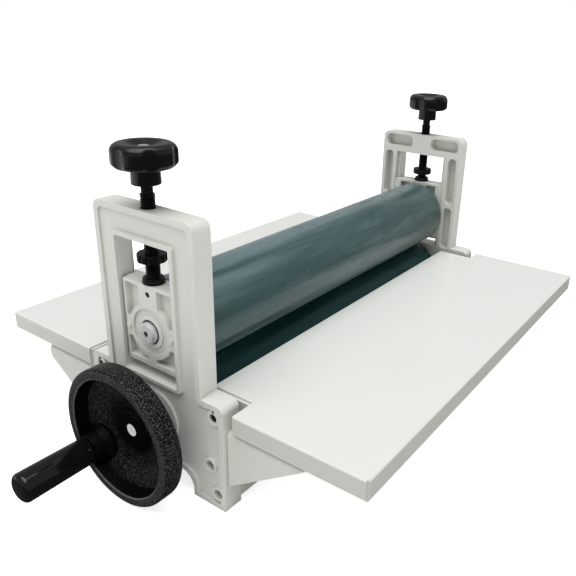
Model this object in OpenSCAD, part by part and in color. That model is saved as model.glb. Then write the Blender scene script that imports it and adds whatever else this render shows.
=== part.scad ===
// Cold roll laminator: two cast side frames carry a driven lower roller and a sliding upper roller.
// +X runs along the rollers from the handwheel end, +Y to the rear table, +Z up; the feet stand on z = 0.

/* [Frame] */
// Clear width between the two side frames
gap_w = 356; // [300:1:700]
// Thickness of each cast side frame
frame_t = 15.5; // [15.5:0.5:20]
// Full height of a side frame
frame_h = 197; // [196:1:220]
// Half depth of the upper portal
portal_half = 45.2; // [44:0.1:52]
// Half depth of the wider base
base_half = 64.2; // [62:0.1:70]
// Height of the base
base_h = 81; // [80:1:84]
// Half width of the arch between the feet
arch_half = 34.8; // [30:0.1:38]
// Height of the arch between the feet
arch_h = 17; // [12:1:20]
// Half width of the window that the bearing block slides in
window_half = 25; // [25:0.1:27]
// Bottom of the window
window_z0 = 80.5; // [78:0.1:83]
// Top of the window
window_z1 = 176.5; // [170:0.1:180]

/* [Rollers] */
// Radius of each roller over its rubber
roller_r = 32; // [29:0.5:32]
// Thickness of the rubber cover
rubber_t = 6; // [3:0.5:8]
// Distance from a roller's end to the side frame
roller_end_gap = 3; // [2:0.5:6]
// Height of the lower roller's axis
lower_z = 49.7; // [46:0.1:52]
// Gap left in the nip when the rollers are closed
nip_gap = 0.3; // [0.1:0.1:1]
// Radius of the roller journals
journal_r = 7.5; // [6:0.5:8]

/* [Tables] */
// Depth from the roller axis to a table's outer edge
table_reach = 170; // [150:1:260]
// Distance from the roller axis to a table's inner edge
table_inner = 36; // [35:1:40]
// Height of the table tops
table_z = 78.2; // [76:0.1:80]
// Thickness of the tables
table_t = 15; // [12:0.5:18]

/* [Pressure screws] */
// Radius of the screw thread
thread_r = 4.75; // [4.2:0.05:5]
// Radius of the pressure knob
knob_r = 20; // [18:0.5:24]
// Height of a knob's top above the side frame
knob_rise = 40; // [38:1:60]
// Height of the left lock nut's lower face
left_nut_z = 162.5; // [155:0.5:162.5]
// Height of the right lock nut's lower face
right_nut_z = 155.2; // [155:0.1:162.5]

/* [Handwheel] */
// Outer radius of the handwheel
wheel_r = 49.3; // [46:0.1:49.4]
// Inner radius of the handwheel's rim
wheel_inner_r = 42.1; // [38:0.1:43]
// Width of the handwheel's rim
wheel_w = 14.8; // [12:0.1:18]
// Distance from the side frame to the back of the rim
wheel_gap = 20; // [18:0.5:26]
// Radius of the crank handle's axis about the wheel
crank_r = 37.8; // [32:0.1:38]
// Angle of the crank handle, above the rear-pointing horizontal
crank_angle = -35.3; // [-180:0.1:180]
// Length of the crank handle
handle_l = 51.2; // [45:0.1:110]

/* [Hidden] */
$fn = 96;

// a small overshoot that lets one solid cut cleanly through another
eps = 0.5;
// paint colours
paint = "#d2d4cd";
black = "#26262a";
steel = "#b9bcc0";
rubber = "#3f5f60";

// main planes of the left side; the right side mirrors them
x_in = -gap_w / 2;
x_out = x_in - frame_t;
x_screw = (x_in + x_out) / 2;
upper_z = lower_z + 2 * roller_r + nip_gap;
x_wheel_back = x_out - wheel_gap;
x_wheel_front = x_wheel_back - wheel_w;
handle_gap = 0.5;
x_handle_end = x_wheel_front - handle_gap - handle_l;
// the model is moved along X so that the origin is under the middle of its full length,
// which runs from the crank handle's end to the right knob's edge. A scallop faces that way, so the knob
// reaches only as far as the points where the scallop's circle crosses its edge
lobes = 6;
scallop_r = 9;
scallop_depth = 1.9;
scallop_out = knob_r - scallop_depth + scallop_r;
knob_reach = (pow(knob_r, 2) + pow(scallop_out, 2) - pow(scallop_r, 2)) / (2 * scallop_out);
x_shift = -(x_handle_end - (x_screw - knob_reach)) / 2;

// side frame
rim_w = 4.5;
panel_depth = 1.6;
window_rim_w = 2.8;
window_rim_h = 1.2;
window_rim_corner_r = 3;
window_corner_r = 1.5;
portal_corner_r = 6;
base_corner_r = 5;
arch_corner_r = 12;
guide_depth = 4.2;
guide_half = window_half + 3.2;
side_hole_ring_r = 5.6;
side_hole_r = 3.1;
tie_hole_r = 3.65;
tie_shank_r = 2;
tie_seat_depth = 9;
table_seat_depth = 5;
// places of the side holes as [distance from the roller axis, height]
table_hole = [55.6, 71];
tie_holes = [[51.3, 32.5], [57.6, 11.6]];
// weight-saving slots: their ends across the frame, and their heights
slot_depth = 9;
slot_out = 41.5;
top_slot = [10.5, frame_h - 14.6, frame_h - 2.8, 4.6];
side_slots = [[32.2, 129.5, 176.5, 4], [32.2, 80, 124.5, 4]];
bracket_hole_r = 2.1;
bracket_hole_depth = 8;

// bearings, as sealed ball bearings of 15 x 35 x 11
bearing_r = 17.5;
bearing_w = 11;
seal_w = 2.5;
seal_depth = 0.5;
shaft_hole_r = 9;
running = 0.05;
screw_clearance = 0.07;

// bearing block, its heights counted from the upper roller's axis
block_z0 = upper_z - 26;
block_z1 = upper_z + 33.5;
block_x_out = x_out + 1.3;
block_half = window_half - 0.25;
lip_half = 23.2;
flange_half = guide_half - 0.3;
block_corner_r = 1.5;
block_play = 0.2;
boss_r = 19.7;
boss_groove = [11.6, 16.2, 1.3];
pocket_half = 21.6;
strip_half = 8.5;
rim_inner_z0 = upper_z - 22.2;
rim_inner_z1 = upper_z + 31;
upper_pocket_z0 = upper_z + 7;
lower_pocket_z1 = upper_z - 8;
pocket_depth = 4.5;
lip_depth = 3;
inner_pocket_depth = 5.5;
inner_pocket_z0 = upper_z + 16;
inner_pocket_half = 20.6;
web_half = 4;
ejector_y = 20;
ejector_r = 2;
ejector_h = 1.2;

// pressure screw
spigot_r = 4;
spigot_z0 = upper_z + 23;
groove_z0 = upper_z + 24.4;
groove_h = 4.4;
groove_r = 3;
grub_z = groove_z0 + groove_h / 2;
grub_r = 1.95;
collar_r = 7.4;
collar_z0 = block_z1 + 0.1;
collar_top = upper_z + 37.4;
neck_r = 3.7;
neck_z = frame_h + 8.6;
hub_z = frame_h + 15;
hub_r = 9.2;
knob_z0 = frame_h + 25.5;
knob_top = frame_h + knob_rise;
nut_r = 9.5;
nut_h = 5.4;

// brackets and their flanges
bracket_x = x_out + 3.2;
bracket_w = 12.3;
sheet_t = 2;
bracket_reach = 126;
front_bracket_z0 = 19.7;
front_bracket_end = 1.5;
front_fold_r = 4;
rear_bracket_z0 = 9.5;
rear_bracket_end = 11;
rear_fold_r = 6;
// places of the screws along X: into the frames, and into the tables
frame_screw_x = bracket_x + 7.5;
table_screw_x = bracket_x + 9.2;
table_bottom = table_z - table_t;
table_half_w = -x_out - 1.6;
tongue_half_w = -x_in - 3.8;
notch_y = base_half + 5;
bracket_screw_z = [26, 52];
flange_screw_y = [80, 104];
flange_screw_r = 1.85;
sheet_hole_r = 2.2;

// points of an arc about [cx, cy], from angle a0 to a1
function arc(cx, cy, r, a0, a1, n = 6) =
    [for (i = [0:n]) [cx + r * cos(a0 + (a1 - a0) * i / n), cy + r * sin(a0 + (a1 - a0) * i / n)]];

// ---- helpers ----

// puts a part in the shared frame, on the left side
module left() { translate([x_shift, 0, 0]) children(); }
// the same part, mirrored to the right side
module right() { translate([x_shift, 0, 0]) mirror([1, 0, 0]) children(); }

// pushes a shape drawn in (Y, Z) along X from x0 to x1
module along_x(x0, x1) {
    translate([x0, 0, 0]) rotate([90, 0, 90]) linear_extrude(x1 - x0) children();
}

// a cylinder along X from x0 to x1, on the axis through (y, z)
module rod_x(r, x0, x1, y = 0, z = 0) {
    translate([x0, y, z]) rotate([0, 90, 0]) cylinder(r = r, h = x1 - x0);
}

// a solid of revolution about the X axis at height z, its profile given as [x, radius] points
module turned_x(points, y = 0, z = 0) {
    translate([0, y, z]) rotate([0, 90, 0]) rotate_extrude() polygon([for (p = points) [p[1], p[0]]]);
}

// rectangle from y0 to y1 and z0 to z1 with its two top corners rounded
module top_rounded(y0, y1, z0, z1, r) {
    translate([y0, z0]) square([y1 - y0, z1 - r - z0]);
    translate([y0 + r, z0]) square([y1 - y0 - 2 * r, z1 - z0]);
    for (y = [y0 + r, y1 - r]) translate([y, z1 - r]) circle(r);
}

// rectangle with all four corners rounded
module rounded(y0, y1, z0, z1, r) {
    translate([y0, z0 + r]) square([y1 - y0, z1 - z0 - 2 * r]);
    translate([y0 + r, z0]) square([y1 - y0 - 2 * r, z1 - z0]);
    for (y = [y0 + r, y1 - r], z = [z0 + r, z1 - r]) translate([y, z]) circle(r);
}

// ---- side frames ----

// side view of a frame, drawn in by inset all round
module frame_outline(inset = 0) {
    difference() {
        union() {
            top_rounded(-portal_half + inset, portal_half - inset, base_h / 2, frame_h - inset,
                        portal_corner_r - inset / 2);
            top_rounded(-base_half + inset, base_half - inset, inset, base_h - inset,
                        base_corner_r - inset / 2);
        }
        top_rounded(-arch_half - inset, arch_half + inset, -eps, arch_h + inset, arch_corner_r + inset / 2);
    }
}

// the raised border around the window
module window_rim() {
    rounded(-window_half - window_rim_w, window_half + window_rim_w,
            window_z0 - window_rim_w, window_z1 + window_rim_w, window_rim_corner_r);
}

// the shallow panel in the outer face, with its bosses left standing
module outer_panel() {
    difference() {
        frame_outline(rim_w);
        window_rim();
        translate([0, lower_z]) circle(bearing_r + 4);
        for (s = [-1, 1], p = concat([table_hole], tie_holes))
            translate([s * p[0], p[1]]) circle(side_hole_ring_r);
    }
}

// weight-saving slots in the inner face of a frame
module inner_slots() {
    for (m = [0, 1], slot = concat([top_slot], side_slots))
        mirror([m, 0]) rounded(slot[0], slot_out, slot[1], slot[2], slot[3]);
}

module side_frame() {
    color(paint) difference() {
        union() {
            along_x(x_out, x_in) frame_outline();
            along_x(x_out - window_rim_h, x_out + frame_t / 2) window_rim();
        }
        along_x(x_out - eps, x_out + panel_depth) outer_panel();
        // window, and the wider guide recess on the inside
        along_x(x_out - window_rim_h - eps, x_in + eps)
            rounded(-window_half, window_half, window_z0, window_z1, window_corner_r);
        along_x(x_in - guide_depth, x_in + eps)
            rounded(-guide_half, guide_half, window_z0, window_z1, window_corner_r);
        along_x(x_in - slot_depth, x_in + eps) inner_slots();
        // seat of the lower bearing and the shaft's way out
        rod_x(bearing_r, x_in - bearing_w, x_in + eps, 0, lower_z);
        rod_x(shaft_hole_r, x_out - eps, x_in, 0, lower_z);
        // hole for the pressure screw
        translate([x_screw, 0, window_z1 - eps])
            cylinder(r = thread_r + screw_clearance, h = frame_h - window_z1 + 2 * eps);
        for (s = [-1, 1]) {
            rod_x(side_hole_r, x_out - eps, x_out + table_seat_depth, s * table_hole[0], table_hole[1]);
            rod_x(tie_shank_r + 0.1, x_out, x_in + eps, s * table_hole[0], table_hole[1]);
            for (p = tie_holes) {
                rod_x(tie_hole_r, x_out - eps, x_out + tie_seat_depth, s * p[0], p[1]);
                rod_x(tie_shank_r + 0.1, x_out, x_in + eps, s * p[0], p[1]);
            }
            for (z = bracket_screw_z) frame_face_hole(s, z);
        }
    }
}

// tapped hole in a frame's front or rear face for a bracket screw
module frame_face_hole(s, z) {
    translate([frame_screw_x, s * (base_half - bracket_hole_depth), z]) rotate([-s * 90, 0, 0])
        cylinder(r = bracket_hole_r, h = bracket_hole_depth + eps);
}

module left_side_frame() { left() side_frame(); }
module right_side_frame() { right() side_frame(); }

// ---- bearing blocks, bearings ----

// pockets in the outer face of a block, two above and two below, cut around the bearing boss
module block_pockets() {
    difference() {
        for (m = [0, 1]) mirror([m, 0]) {
            translate([strip_half, upper_pocket_z0])
                square([pocket_half - strip_half, rim_inner_z1 - upper_pocket_z0]);
            translate([web_half, rim_inner_z0])
                square([pocket_half - web_half, lower_pocket_z1 - rim_inner_z0]);
        }
        translate([0, upper_z]) circle(boss_r);
    }
}

flange_x = x_in - guide_depth + block_play;
block_x_in = x_in - block_play;

// full-height slice of a block from x0 to x1, of that half width
module block_slice(x0, x1, half) {
    along_x(x0, x1) rounded(-half, half, block_z0, block_z1, block_corner_r);
}

module bearing_block() {
    color(paint) difference() {
        union() {
            block_slice(block_x_out, flange_x, lip_half);
            block_slice(block_x_out + lip_depth, flange_x, block_half);
            block_slice(flange_x, block_x_in, flange_half);
            // small round ejector marks beside the boss
            for (y = [-ejector_y, ejector_y])
                rod_x(ejector_r, block_x_out - ejector_h, block_x_out + eps, y, upper_z - 0.5);
        }
        along_x(block_x_out - eps, block_x_out + pocket_depth) block_pockets();
        // shallow ring around the shaft's way out
        difference() {
            rod_x(boss_groove[1], block_x_out - eps, block_x_out + boss_groove[2], 0, upper_z);
            rod_x(boss_groove[0], block_x_out - 2 * eps, block_x_out + boss_groove[2] + eps, 0, upper_z);
        }
        rod_x(journal_r + 1, block_x_out - eps, x_in, 0, upper_z);
        rod_x(bearing_r, block_x_in - bearing_w, x_in + eps, 0, upper_z);
        for (m = [0, 1]) mirror([0, m, 0]) along_x(block_x_in - inner_pocket_depth, x_in + eps)
            translate([strip_half + 1, inner_pocket_z0])
                square([inner_pocket_half - strip_half - 1, rim_inner_z1 - inner_pocket_z0]);
        // bore of the pressure screw's spigot and its retaining grub
        translate([x_screw, 0, spigot_z0 - 2])
            cylinder(r = spigot_r + running, h = block_z1 - spigot_z0 + 2 + eps);
        rod_x(grub_r + 0.05, block_x_out - eps, x_screw, 0, grub_z);
    }
}

module left_bearing_block() { left() bearing_block(); }
module right_bearing_block() { right() bearing_block(); }

// a sealed ball bearing, one ring of the bearing's full size
module bearing(z, x) {
    color(steel) difference() {
        rod_x(bearing_r, x - bearing_w, x, 0, z);
        rod_x(journal_r + running, x - bearing_w - eps, x + eps, 0, z);
        // the seals sit a little below both faces
        for (d = [-bearing_w - eps, -seal_depth]) difference() {
            rod_x(bearing_r - seal_w, x + d, x + d + seal_depth + eps, 0, z);
            rod_x(journal_r + seal_w, x + d - eps, x + d + 2, 0, z);
        }
    }
}

module upper_bearings() {
    left() bearing(upper_z, block_x_in);
    right() bearing(upper_z, block_x_in);
}
module lower_bearings() {
    left() bearing(lower_z, x_in);
    right() bearing(lower_z, x_in);
}

// ---- rollers ----

core_r = roller_r - rubber_t;
roller_x = x_in + roller_end_gap;
upper_shaft_x = x_out - 2.3;
tube_wall = 4;
plug_w = 12;
shoulder_r = journal_r + 2.5;
shoulder_x = x_in + 0.1;
chamfer = 1;
rubber_chamfer = 0.8;
centre_r = 2;

// steel tube with a turned plug in each end; the shaft ends are added by each roller
module roller_tube(z) {
    difference() {
        rod_x(core_r, roller_x, -roller_x, 0, z);
        rod_x(core_r - tube_wall, roller_x + plug_w, -roller_x - plug_w, 0, z);
    }
}

// shoulder and journal at the left end of a roller, ending at x_end with a chamfer
module journal(x_end, z) {
    turned_x([[roller_x + eps, 0], [roller_x + eps, shoulder_r], [shoulder_x, shoulder_r],
              [shoulder_x, journal_r], [x_end + chamfer, journal_r], [x_end, journal_r - chamfer],
              [x_end, 0]], 0, z);
}

// centre hole right through an end, which also vents the tube
module centre_hole(x_end, z) { rod_x(centre_r, x_end - eps, roller_x + plug_w + eps, 0, z); }

module upper_roller_core() {
    left() color(steel) difference() {
        union() {
            roller_tube(upper_z);
            journal(upper_shaft_x, upper_z);
            mirror([1, 0, 0]) journal(upper_shaft_x, upper_z);
        }
        centre_hole(upper_shaft_x, upper_z);
        mirror([1, 0, 0]) centre_hole(upper_shaft_x, upper_z);
    }
}

module roller_cover(z) {
    color(rubber) difference() {
        turned_x([[roller_x, 0], [roller_x, roller_r - rubber_chamfer],
                  [roller_x + rubber_chamfer, roller_r], [-roller_x - rubber_chamfer, roller_r],
                  [-roller_x, roller_r - rubber_chamfer], [-roller_x, 0]], 0, z);
        rod_x(core_r, roller_x - eps, -roller_x + eps, 0, z);
    }
}

module upper_roller_cover() { left() roller_cover(upper_z); }
module lower_roller_cover() { left() roller_cover(lower_z); }

stub_r = 4.5;
hub_face_x = x_wheel_back - 0.8;
hub_back_x = x_out - 4;
stub_x = hub_face_x + 7;

module lower_roller_core() {
    left() color(steel) difference() {
        union() {
            roller_tube(lower_z);
            journal(stub_x, lower_z);
            rod_x(stub_r, hub_face_x + 0.3, stub_x + chamfer, 0, lower_z);
            mirror([1, 0, 0]) journal(x_out + 2, lower_z);
        }
        mirror([1, 0, 0]) centre_hole(x_out + 2, lower_z);
    }
}

// ---- pressure screws ----

// depth of the screw's end below the knob's top
screw_recess = 2;

module pressure_screw() {
    top = knob_top - screw_recess;
    color(black) translate([x_screw, 0, 0]) rotate_extrude() polygon([
        [0, spigot_z0], [spigot_r - 0.5, spigot_z0], [spigot_r, spigot_z0 + 0.5], [spigot_r, groove_z0],
        [groove_r, groove_z0], [groove_r, groove_z0 + groove_h], [spigot_r, groove_z0 + groove_h],
        [spigot_r, collar_top], [thread_r, collar_top], [thread_r, neck_z], [neck_r, neck_z + 1],
        [neck_r, top - 0.6], [neck_r - 0.6, top], [0, top]]);
}

module left_pressure_screw() { left() pressure_screw(); }
module right_pressure_screw() { right() pressure_screw(); }

// collar that carries the screw's thrust on top of the block
module thrust_collar() {
    foot_top = collar_z0 + 1.8;
    color(black) translate([x_screw, 0, 0]) rotate_extrude() polygon([
        [spigot_r, collar_z0], [collar_r, collar_z0], [collar_r, foot_top],
        [collar_r - 0.5, foot_top + 0.5], [collar_r - 0.5, collar_top - 0.4],
        [collar_r - 0.9, collar_top], [spigot_r, collar_top]]);
}

module left_thrust_collar() { left() thrust_collar(); }
module right_thrust_collar() { right() thrust_collar(); }

recess_r = 11.5;
dish_r = recess_r - 4;
dish_depth = 3.2;
skirt_r = 3.4;
crown_r = 5.5;

// moulded knob: hub below, a lobed body with a dished top
module pressure_knob() {
    color(black) translate([x_screw, 0, 0]) difference() {
        rotate_extrude() polygon(concat(
            [[neck_r, hub_z], [hub_r - 0.6, hub_z], [hub_r, hub_z + 0.6], [hub_r - 0.3, knob_z0],
             [knob_r - skirt_r, knob_z0]],
            arc(knob_r - skirt_r, knob_z0 + skirt_r + 0.8, skirt_r, -60, 0),
            arc(knob_r - crown_r, knob_top - crown_r, crown_r, 5, 90),
            [[recess_r, knob_top], [dish_r, knob_top - 1.7], [5, knob_top - dish_depth],
             [neck_r, knob_top - dish_depth]]));
        for (i = [0:lobes - 1]) rotate([0, 0, i * 360 / lobes])
            translate([scallop_out, 0, knob_z0 - eps])
                cylinder(r = scallop_r, h = knob_top - knob_z0);
    }
}

module left_pressure_knob() { left() pressure_knob(); }
module right_pressure_knob() { right() pressure_knob(); }

nut_notches = 12;
notch_r = 1.5;
notch_out = 0.7;

// thin round nut with finger notches
module lock_nut(z) {
    color(black) translate([x_screw, 0, z]) difference() {
        rotate_extrude() polygon(concat(
            [[thread_r + running, 0]], arc(nut_r - 1, 1, 1, -90, 0, 3),
            arc(nut_r - 1, nut_h - 1, 1, 0, 90, 3), [[thread_r + running, nut_h]]));
        for (i = [0:nut_notches - 1]) rotate([0, 0, i * 360 / nut_notches])
            translate([nut_r + notch_out, 0, -eps]) cylinder(r = notch_r, h = nut_h + 2 * eps);
    }
}

module left_lock_nut() { left() lock_nut(left_nut_z); }
module right_lock_nut() { right() lock_nut(right_nut_z); }

// grub screw whose tip runs in the spigot's groove and lifts the block with the screw
module retaining_grub() {
    color(steel) rod_x(grub_r, block_x_out + 0.9, x_screw - groove_r - 0.2, 0, grub_z);
}
module screw_retaining_grubs() {
    left() retaining_grub();
    right() retaining_grub();
}

// ---- handwheel and crank ----

web_t = 4.5;
web_x = x_wheel_back - web_t;
dish = 6.5;
hub_outer_r = 15.5;
crank_y = crank_r * cos(crank_angle);
crank_z = lower_z + crank_r * sin(crank_angle);
crank_boss_r = 11.3;
spindle_r = 4;
spindle_thread_r = 3;
spindle_x = web_x + 1.5;
set_screw_x = hub_back_x - 5;
set_screw_r = 2.5;
rim_edge_r = 2;
rim_inner_edge_r = 1.5;

module handwheel() {
    left() color(black) difference() {
        union() {
            turned_x(concat(
                [[hub_back_x, 0], [hub_back_x, hub_outer_r], [web_x + dish + 1.5, hub_outer_r + 1.5],
                 [x_wheel_back, wheel_inner_r - 2], [x_wheel_back, wheel_inner_r]],
                arc(x_wheel_back - rim_edge_r, wheel_r - rim_edge_r, rim_edge_r, 0, 90, 4),
                arc(x_wheel_front + rim_edge_r, wheel_r - rim_edge_r, rim_edge_r, 90, 180, 4),
                arc(x_wheel_front + rim_inner_edge_r, wheel_inner_r + rim_inner_edge_r,
                    rim_inner_edge_r, 180, 270, 4),
                [[web_x, wheel_inner_r - 0.6], [web_x + dish, hub_outer_r + 1.5],
                 [hub_face_x, hub_outer_r], [hub_face_x, 0]]), 0, lower_z);
            turned_x([[x_wheel_front, 0], [x_wheel_front, crank_boss_r - 1.3],
                      [web_x + 3, crank_boss_r], [web_x + 3, 0]], crank_y, crank_z);
        }
        rod_x(journal_r, stub_x, hub_back_x + eps, 0, lower_z);
        rod_x(stub_r, hub_face_x - eps, stub_x + eps, 0, lower_z);
        rod_x(spindle_thread_r, x_wheel_front - eps, spindle_x, crank_y, crank_z);
        translate([set_screw_x, 0, lower_z]) cylinder(r = set_screw_r, h = hub_outer_r + 2);
    }
}

module handwheel_set_screw() {
    left() color(steel) translate([set_screw_x, 0, lower_z + journal_r]) cylinder(r = set_screw_r, h = 6.5);
}

spindle_end = x_wheel_front - 33;
snap_x = x_wheel_front - 22;
snap_w = 1;
snap_r = 5.1;
snap_groove_r = 3.4;
snap_play = 0.3;

module crank_spindle() {
    left() color(steel) turned_x([
        [spindle_x, 0], [spindle_x, spindle_thread_r], [x_wheel_front, spindle_thread_r],
        [x_wheel_front, spindle_r],
        [snap_x, spindle_r], [snap_x, snap_groove_r], [snap_x - snap_w, snap_groove_r],
        [snap_x - snap_w, spindle_r], [spindle_end + 0.6, spindle_r], [spindle_end, spindle_r - 0.6],
        [spindle_end, 0]], crank_y, crank_z);
}

module crank_snap_ring() {
    left() color(steel) difference() {
        rod_x(snap_r, snap_x - snap_w, snap_x, crank_y, crank_z);
        rod_x(snap_groove_r, snap_x - 2 * snap_w, snap_x + snap_w, crank_y, crank_z);
    }
}

handle_r = 9.7;
handle_end_r = 10.3;

module crank_handle() {
    x0 = x_wheel_front - handle_gap;
    left() color(black) difference() {
        turned_x(concat([[x0, 0], [x0, handle_r - 1], [x0 - 1, handle_r]],
                        arc(x_handle_end + 2.5, handle_end_r - 2.5, 2.5, 90, 165, 5),
                        [[x_handle_end, 5], [x_handle_end, 0]]), crank_y, crank_z);
        rod_x(spindle_r + running, spindle_end - 1, x0 + eps, crank_y, crank_z);
        rod_x(snap_r + snap_play, snap_x - snap_w - snap_play, snap_x + snap_play, crank_y, crank_z);
    }
}

// ---- tables ----

edge_r = 1.6;

// slab with rounded edges between opposite corners
module soft_slab(x0, x1, y0, y1, z0, z1) {
    r = edge_r;
    translate([x0, y0 + r, z0 + r]) cube([x1 - x0, y1 - y0 - 2 * r, z1 - z0 - 2 * r]);
    translate([x0 + r, y0, z0 + r]) cube([x1 - x0 - 2 * r, y1 - y0, z1 - z0 - 2 * r]);
    translate([x0 + r, y0 + r, z0]) cube([x1 - x0 - 2 * r, y1 - y0 - 2 * r, z1 - z0]);
    for (y = [y0 + r, y1 - r], z = [z0 + r, z1 - r]) rod_x(r, x0 + r, x1 - r, y, z);
    for (x = [x0 + r, x1 - r], z = [z0 + r, z1 - r])
        translate([x, y0 + r, z]) rotate([-90, 0, 0]) cylinder(r = r, h = y1 - y0 - 2 * r);
    for (x = [x0 + r, x1 - r], y = [y0 + r, y1 - r]) {
        translate([x, y, z0 + r]) cylinder(r = r, h = z1 - z0 - 2 * r);
        for (z = [z0 + r, z1 - r]) translate([x, y, z]) sphere(r);
    }
}

table_screw_depth = 20;
flange_screw_l = 10;

// table in front of the rollers: a full-width slab and a tongue that fits between the side frames
module table() {
    color("#ecedea") difference() {
        union() {
            soft_slab(-table_half_w, table_half_w, -table_reach, -notch_y, table_bottom, table_z);
            soft_slab(-tongue_half_w, tongue_half_w, -notch_y - 3 * edge_r, -table_inner,
                      table_bottom, table_z);
        }
        for (m = [0, 1]) mirror([m, 0, 0]) {
            rod_x(tie_shank_r, x_in, x_in + table_screw_depth, -table_hole[0], table_hole[1]);
            for (y = flange_screw_y) translate([table_screw_x, -y, table_bottom - eps])
                cylinder(r = flange_screw_r + running, h = flange_screw_l + eps);
        }
    }
}

module front_table() { left() table(); }
module rear_table() { left() mirror([0, 1, 0]) table(); }

// ---- brackets under the tables ----

// section of a folded sheet in (X, Z): an upright at x = 0 and a flange on top, with outer fold radius r
module fold_section(z0, z1, r) {
    translate([0, z0]) square([sheet_t, z1 - r - z0]);
    translate([r, z1 - sheet_t]) square([bracket_w - r, sheet_t]);
    translate([r, z1 - r]) intersection() {
        difference() {
            circle(r);
            circle(r - sheet_t);
        }
        translate([-r, 0]) square([r, r]);
    }
}

// folded sheet bracket at the front left: a triangular web, a table flange and a frame flange
module bracket(z0, end_h, fold_r) {
    y0 = -base_half - 0.1;
    color(paint) difference() {
        union() {
            intersection() {
                translate([bracket_x, y0, 0]) rotate([90, 0, 0]) linear_extrude(bracket_reach + y0)
                    fold_section(z0, table_bottom, fold_r);
                along_x(bracket_x - eps, bracket_x + bracket_w + eps) polygon([
                    [y0, z0], [y0, table_bottom],
                    [-bracket_reach, table_bottom], [-bracket_reach, table_bottom - end_h]]);
            }
            translate([bracket_x, y0 - sheet_t, z0]) cube([bracket_w, sheet_t, table_bottom - fold_r - z0]);
        }
        for (y = flange_screw_y) translate([table_screw_x, -y, table_bottom - 2 * sheet_t])
            cylinder(r = sheet_hole_r, h = 3 * sheet_t);
        for (z = bracket_screw_z) translate([frame_screw_x, y0 + sheet_t, z]) rotate([90, 0, 0])
            cylinder(r = sheet_hole_r, h = 3 * sheet_t);
    }
}

module front_bracket() { bracket(front_bracket_z0, front_bracket_end, front_fold_r); }
module rear_bracket() { mirror([0, 1, 0]) bracket(rear_bracket_z0, rear_bracket_end, rear_fold_r); }
module left_front_bracket() { left() front_bracket(); }
module right_front_bracket() { right() front_bracket(); }
module left_rear_bracket() { left() rear_bracket(); }
module right_rear_bracket() { right() rear_bracket(); }

// ---- tie channels between the side frames ----

tie_y = 63.2;
tie_z0 = 3;
tie_h = 38;
tie_flange = 15;
tie_end_t = 4;
tie_gap = 0.1;

module tie_channel() {
    color(paint) difference() {
        translate([x_in + tie_gap, -tie_y, tie_z0]) cube([gap_w - 2 * tie_gap, tie_flange, tie_h]);
        translate([x_in + tie_end_t, -tie_y + sheet_t, tie_z0 + sheet_t])
            cube([gap_w - 2 * tie_end_t, tie_flange, tie_h - 2 * sheet_t]);
        for (m = [0, 1], p = tie_holes) mirror([m, 0, 0])
            rod_x(tie_shank_r + running, x_in - eps, x_in + tie_end_t + eps, -p[0], p[1]);
    }
}

module front_tie_channel() { left() tie_channel(); }
module rear_tie_channel() { left() mirror([0, 1, 0]) tie_channel(); }

// ---- fasteners ----

// repeats a left front fastener at all four corners
module four_corners() {
    translate([x_shift, 0, 0]) for (mx = [0, 1], my = [0, 1])
        mirror([mx, 0, 0]) mirror([0, my, 0]) children();
}

tie_head_r = 3.5;
tie_shank_l = 12;
table_head_r = 2.9;
table_shank_l = 24;
head_h = 3.5;
bracket_head_r = 4;
bracket_head_h = 3;
bracket_shank_l = 9;
flange_head_r = 3;
flange_head_h = 2.2;

// cap screw that bears on the bottom of a counterbore in a side frame's outer face
module cap_screw_x(seat_depth, head_r, length, y, z) {
    seat_x = x_out + seat_depth;
    rod_x(head_r, seat_x - head_h, seat_x, y, z);
    rod_x(tie_shank_r, seat_x - eps, seat_x + length, y, z);
}

module tie_screws() {
    four_corners() color(steel) for (p = tie_holes)
        cap_screw_x(tie_seat_depth, tie_head_r, tie_shank_l, -p[0], p[1]);
}

module table_side_screws() {
    four_corners() color(black)
        cap_screw_x(table_seat_depth, table_head_r, table_shank_l, -table_hole[0], table_hole[1]);
}

module bracket_screws() {
    four_corners() color(steel) for (z = bracket_screw_z)
        translate([frame_screw_x, -base_half - 0.1 - sheet_t, z]) {
            rotate([90, 0, 0]) cylinder(r = bracket_head_r, h = bracket_head_h, $fn = 6);
            rotate([-90, 0, 0]) translate([0, 0, -1])
                cylinder(r = bracket_hole_r - 0.1, h = bracket_shank_l + 1);
        }
}

module table_flange_screws() {
    four_corners() color(steel) for (y = flange_screw_y)
        translate([table_screw_x, -y, table_bottom - sheet_t]) {
            translate([0, 0, -flange_head_h]) cylinder(r = flange_head_r, h = flange_head_h);
            translate([0, 0, -1]) cylinder(r = flange_screw_r, h = flange_screw_l + 1);
        }
}

left_side_frame();
right_side_frame();
left_bearing_block();
right_bearing_block();
upper_bearings();
lower_bearings();
upper_roller_core();
upper_roller_cover();
lower_roller_core();
lower_roller_cover();
left_pressure_screw();
right_pressure_screw();
left_pressure_knob();
right_pressure_knob();
left_thrust_collar();
right_thrust_collar();
left_lock_nut();
right_lock_nut();
screw_retaining_grubs();
handwheel();
handwheel_set_screw();
crank_spindle();
crank_snap_ring();
crank_handle();
front_table();
rear_table();
left_front_bracket();
right_front_bracket();
left_rear_bracket();
right_rear_bracket();
front_tie_channel();
rear_tie_channel();
tie_screws();
table_side_screws();
bracket_screws();
table_flange_screws();
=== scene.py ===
import math

import bmesh
import bpy
import numpy as np
from mathutils import Matrix, Vector


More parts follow.
